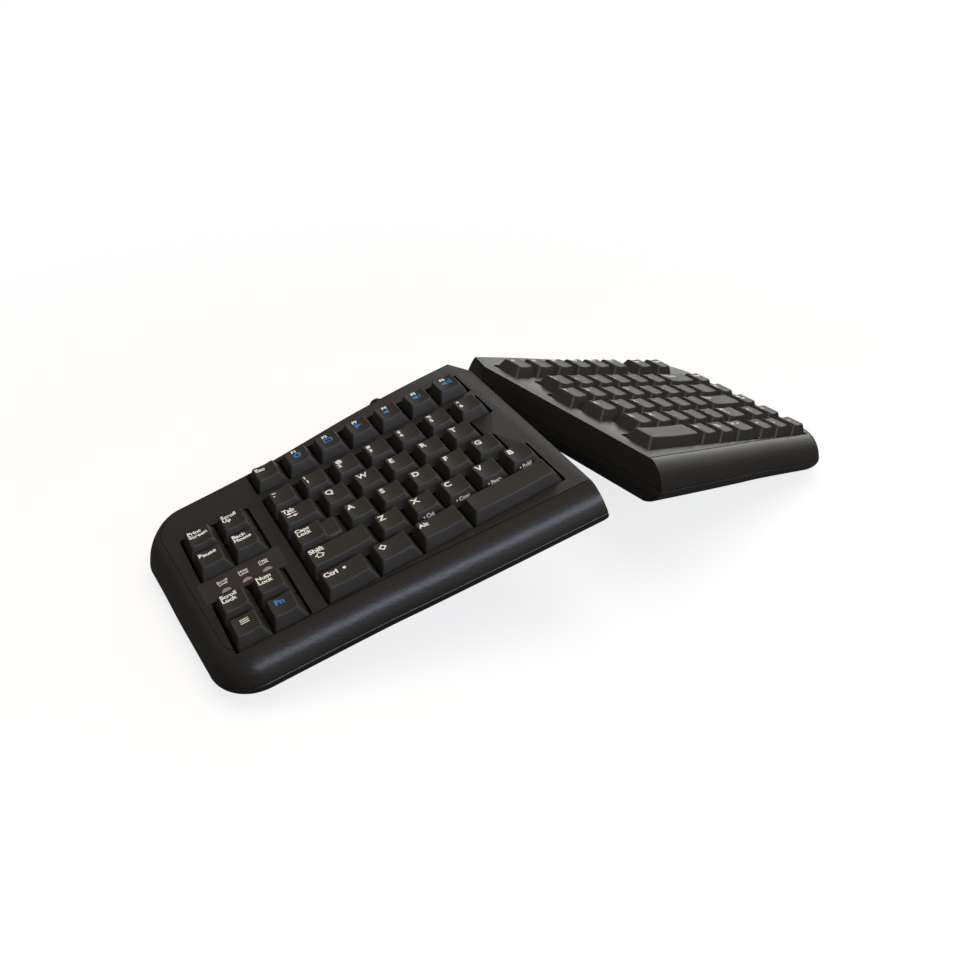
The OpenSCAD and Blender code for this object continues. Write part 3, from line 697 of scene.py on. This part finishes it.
TOP_FILM, FRONT_FILM = 0.05, 0.08
depsgraph = bpy.context.evaluated_depsgraph_get()
inked = {}
for thing, x, y, (node, key_x, key_y, spare), ink, face in prints:
    flat = bpy.data.meshes.new_from_object(thing.evaluated_get(depsgraph))
    for vert in flat.vertices:
        px, up = vert.co.x + x, vert.co.y + y
        if face == "top":
            height = KEY_TOP + TOP_FILM - dip(px, TOP_HALF + spare / 2)
            vert.co = (key_x + px, key_y + up, height)
        else:
            lean_in = FRONT_SLOPE * (up - KEY_RIM) / (KEY_TOP - KEY_RIM)
            vert.co = (key_x + px, key_y - CAP_EDGE + lean_in - FRONT_FILM, up)
    inked.setdefault((node, ink), bmesh.new()).from_mesh(flat)
    bpy.data.meshes.remove(flat)
for thing, *_ in prints:
    bpy.data.objects.remove(thing)
for (node, ink), solid in inked.items():
    film = placed(node + "_" + ink + "_print", solid)
    film.data.transform(LEFT if node in LEFT_KEYS else RIGHT)
    dress(film, INKS[ink], node, "key_plastic")

# Indicator panel
# A satin strip let into the deck of the left cluster, with half-round frosted lenses and their
# two-line labels. The strip snaps in from above and the lenses are pressed in from below.


def coat(material, *names):
    for name in names:
        frame["nodes"][name].data.materials.clear()
        frame["nodes"][name].data.materials.append(material)


# Satin ABS of the strip: lighter than the deck, with patches of tone and gloss about 17 mm wide.
STRIP_ABS, tree, where = new_material("moulded_abs_satin_strip")
patch = add(tree, "ShaderNodeTexNoise", {"Vector": where, "Scale": 60.0, "Detail": 3.0})["Fac"]
sheen = add(tree, "ShaderNodeMapRange", {"Value": patch, "To Min": 0.34, "To Max": 0.42})["Result"]
surface(tree, patch, "#2a2624", "#342e2c", {"Roughness": sheen, "IOR": ABS_IOR})
coat(STRIP_ABS, "indicator_panel")

# Frosted acrylic: a greyish pink that takes a little light in. Its frost is drawn at 1.4 mm to
# show.
LENS, tree, where = new_material("frosted_acrylic_lens")
frost = add(tree, "ShaderNodeTexNoise", {"Vector": where, "Scale": 700.0, "Detail": 2.0})["Fac"]
surface(tree, frost, "#7d7270", "#93878a",
        {"Roughness": 0.4, "IOR": 1.49, "Subsurface Weight": 0.15, "Subsurface Scale": 0.001})
coat(LENS, "indicator_lenses")

LABEL_ROW, LABEL_HEIGHT = -1.9 * PITCH, DECK + 0.13
labels = [(lettering(text, 2.5, 0.05, "CENTER", 0.78), -(MARGIN + unit * PITCH))
          for text, unit in (("Scroll\nLock", 9.03), ("Num\nLock", 8.44), ("Caps\nLock", 7.86))]
depsgraph = bpy.context.evaluated_depsgraph_get()
label_film = bmesh.new()
for thing, x in labels:
    flat = bpy.data.meshes.new_from_object(thing.evaluated_get(depsgraph))
    flat.transform(Matrix.Translation((x, LABEL_ROW, LABEL_HEIGHT)))
    label_film.from_mesh(flat)
for thing, _ in labels:
    bpy.data.objects.remove(thing)
film = placed("indicator_labels", label_film)
film.data.transform(LEFT)
dress(film, INKS["white"], "left_half", "panel_plastic")

# Rubber feet and the cord's grommet
# Black moulded rubber: soft-edged pads stuck to the underside, and a flanged bush in the back
# wall of the left half that the signal cord comes through.
FEET = [(183, -74, 11, 34), (183, -14, 11, 34), (12, -82, 11, 34), (30, 8, 11, 24)]
FOOT_THICK, FOOT_CORNER = 2, 3.0

# Moulded rubber: a dull black, with dust in flecks of about 4 mm.
RUBBER, tree, where = new_material("moulded_black_rubber")
dust = add(tree, "ShaderNodeTexNoise", {"Vector": where, "Scale": 240.0, "Detail": 4.0})["Fac"]
relief = add(tree, "ShaderNodeBump",
             {"Height": dust, "Strength": 0.15, "Distance": 0.0002})["Normal"]
surface(tree, dust, "#141414", "#242322", {"Roughness": 0.75, "Normal": relief})
for side, place, body in HALVES:
    pads = bmesh.new()
    for x, y, width, length in FEET:
        pad = placed("pad", block(x, x + width, y, y + length, -FOOT_THICK, 0, FOOT_CORNER, 6))
        pads.from_mesh(bevelled(pad, 0.6, 3, 50).data)
        bpy.data.objects.remove(pad)
    feet = placed(side + "_rubber_feet", pads)
    smoothed(stand_up(feet, place, side == "left"), 35)
    dress(feet, RUBBER, body, "rubber", side + "_feet")

# The bush is turned about its own bore, from the inner flange to the outer one.
GLAND_START, GLAND_SIDES = 45.5, 40
GLAND_PROFILE = [(2.2, 0.3), (2.5, 0), (4.4, 0), (4.6, 0.2), (4.6, 1.8), (4.4, 2), (3.6, 2),
                 (3.6, 7.7), (4.2, 7.8), (4.4, 8.1), (4.3, 9.6), (3.8, 10.2), (2.6, 10.2),
                 (2.2, 9.8)]
bush = bmesh.new()
rings = []
for radius, along in GLAND_PROFILE:
    rings.append([])
    for k in range(GLAND_SIDES):
        a = 2 * pi * k / GLAND_SIDES
        spot = (-GLAND_X + radius * cos(a), GLAND_START + along, GLAND_Z + radius * sin(a))
        rings[-1].append(bush.verts.new(spot))
for inner, outer in zip(rings, rings[1:] + rings[:1]):
    for k in range(GLAND_SIDES):
        n = (k + 1) % GLAND_SIDES
        bush.faces.new((inner[k], outer[k], outer[n], inner[n]))
bmesh.ops.recalc_face_normals(bush, faces=bush.faces)
grommet = placed("cord_grommet", bush)
smoothed(stand_up(grommet, LEFT, False), 45)
dress(grommet, RUBBER, "left_half", "rubber", "cord_gland")

# Ball joint, lock lever, screws and base plates
# Plated steel: the socket ring, liner, ball and stud of the joint, the pin and shoe of its
# lock, the case screws and the plates under the keys. The lever is moulded in the case's ABS.

# Bright zinc plate: pale and half polished, with turning marks drawn at 1.1 mm to show.
STEEL, tree, where = new_material("zinc_plated_steel")
marks = add(tree, "ShaderNodeTexNoise", {"Vector": where, "Scale": 900.0, "Detail": 3.0})["Fac"]
sheen = add(tree, "ShaderNodeMapRange", {"Value": marks, "To Min": 0.25, "To Max": 0.4})["Result"]
surface(tree, marks, "#a9abad", "#c6c8c9", {"Roughness": sheen, "Metallic": 1.0})
coat(STEEL, "hinge_socket", "hinge_liner", "hinge_ball", "hinge_stud", "lever_pin", "clamp_shoe",
     "left_screws", "right_screws", "left_base_plate", "right_base_plate")
lever_solid = bmesh.new()
lever_solid.from_mesh(frame["nodes"]["lock_lever"].data)
bmesh.ops.remove_doubles(lever_solid, verts=lever_solid.verts, dist=1e-6)
lever = placed("cam_lever", lever_solid)
smoothed(bevelled(lever, 0.6 * MM, 3, 50), 35)
dress(lever, CASE_ABS, "lever", "shell_plastic", "lock_lever")

# Key stack and board
# Inside each half: the moulded frame that guides the stems, a silicone sheet with a dome under
# every key, a printed contact film on the steel plate, and the controller board on the left.

# Plain black ABS, with patches about 12 mm wide.
FRAME_ABS, tree, where = new_material("moulded_abs_black_frame")
patch = add(tree, "ShaderNodeTexNoise", {"Vector": where, "Scale": 80.0, "Detail": 2.0})["Fac"]
surface(tree, patch, "#0b0b0b", "#141312", {"Roughness": 0.6})
coat(FRAME_ABS, "left_key_frame", "right_key_frame")

# Moulded silicone: a milky grey with clouds about 8 mm wide.
SILICONE, tree, where = new_material("moulded_silicone_sheet")
patch = add(tree, "ShaderNodeTexNoise", {"Vector": where, "Scale": 120.0, "Detail": 2.0})["Fac"]
surface(tree, patch, "#b9bcbc", "#cfd2d1", {"Roughness": 0.55, "IOR": 1.43})
coat(SILICONE, "left_dome_sheet", "right_dome_sheet")

# Printed polyester: a smooth pale green with wandering tracks about 2 mm apart.
FILM, tree, where = new_material("printed_polyester_film")
tracks = add(tree, "ShaderNodeTexWave", {"Vector": where, "Scale": 160.0, "Distortion": 1.5})["Fac"]
surface(tree, tracks, "#8fae9e", "#aebfb6", {"Roughness": 0.3})
coat(FILM, "left_membrane", "right_membrane")

# Glass-epoxy board: a lacquered green, cloudy in cells about 4 mm wide.
BOARD, tree, where = new_material("glass_epoxy_board")
cells = add(tree, "ShaderNodeTexVoronoi", {"Vector": where, "Scale": 260.0})["Distance"]
surface(tree, cells, "#0c3b22", "#15603a", {"Roughness": 0.35})
coat(BOARD, "controller_board")

# Studio
# A pale table that runs out of view, a cool window in front, a large warm lamp overhead,
# and a camera where the photograph was taken from, rolled a little.
floor_mesh = bmesh.new()
bmesh.ops.create_grid(floor_mesh, x_segments=1, y_segments=1, size=12)
floor = placed("table", floor_mesh)

# White paper: it shows the object's shadow, fades to plain white away from it, and throws back
# only as much light as a grey table would.
PAPER, tree, where = new_material("white_table_paper")
seen = add(tree, "ShaderNodeLightPath")
away = add(tree, "ShaderNodeVectorMath", {0: where}, operation="LENGTH")["Value"]
fade = add(tree, "ShaderNodeMapRange", {"Value": away, "From Min": 0.25, "From Max": 0.7,
                                        "To Min": 0.8, "To Max": 1.0},
           interpolation_type="SMOOTHSTEP")["Result"]
bounce = add(tree, "ShaderNodeBsdfDiffuse", {"Color": linear("#4a4a4a")})["BSDF"]
matt = add(tree, "ShaderNodeBsdfDiffuse", {"Color": linear("#f2f2f2")})["BSDF"]
glow = add(tree, "ShaderNodeEmission", {"Color": linear("#ffffff"), "Strength": 1.0})["Emission"]
shown = add(tree, "ShaderNodeMixShader", {0: fade, 1: matt, 2: glow})["Shader"]
paper = add(tree, "ShaderNodeMixShader", {0: seen["Is Camera Ray"], 1: bounce, 2: shown})["Shader"]
add(tree, "ShaderNodeOutputMaterial", {"Surface": paper})
floor.data.materials.append(PAPER)

world = bpy.data.worlds.new("studio")
world.use_nodes = True
tree = world.node_tree
tree.nodes.clear()
seen = add(tree, "ShaderNodeLightPath")
aim = add(tree, "ShaderNodeTexCoord")["Generated"]
toward = add(tree, "ShaderNodeVectorMath", {0: aim, 1: (0.82, 0.55, 0.16)},
             operation="DOT_PRODUCT")["Value"]
bright = add(tree, "ShaderNodeMapRange", {"Value": toward, "From Min": 0.76, "From Max": 1.0,
                                          "To Min": 0.15, "To Max": 2.0},
             interpolation_type="SMOOTHSTEP")["Result"]
level = add(tree, "ShaderNodeMath", {0: bright, 1: seen["Is Camera Ray"]},
            operation="MAXIMUM")["Value"]
sky = add(tree, "ShaderNodeBackground", {"Color": linear("#ffffff"), "Strength": level})
add(tree, "ShaderNodeOutputWorld", {"Surface": sky["Background"]})
bpy.context.scene.world = world

LAMPS_AIM = Vector((0, 0, 0.05))
for name, spot, size, power, colour in (
        ("front_window", (0.0, -1.05, 0.75), (1.8, 0.26), 9.5, "#dce6ff"),
        ("overhead_softbox", (0.05, -0.1, 1.5), (1.4, 1.4), 24, "#fff4e6")):
    lamp = bpy.data.lights.new(name, "AREA")
    lamp.shape, lamp.energy, lamp.color = "RECTANGLE", power, linear(colour)[:3]
    lamp.size, lamp.size_y = size
    lamp_object = bpy.data.objects.new(name, lamp)
    lamp_object.location = spot
    lamp_object.visible_glossy = name == "front_window"
    lamp_object.rotation_euler = (LAMPS_AIM - Vector(spot)).to_track_quat("-Z", "Y").to_euler()
    bpy.context.scene.collection.objects.link(lamp_object)

camera = bpy.data.cameras.new("camera")
camera.lens, camera.sensor_width = 39.99, 36
camera_object = bpy.data.objects.new("camera", camera)
camera_object.location = (-0.33916, -0.39865, 0.36778)
camera_object.rotation_euler = (radians(57.189), radians(-3.186), radians(-35.199))
bpy.context.scene.collection.objects.link(camera_object)
bpy.context.scene.camera = camera_object
bpy.context.scene.view_settings.view_transform = "Standard"
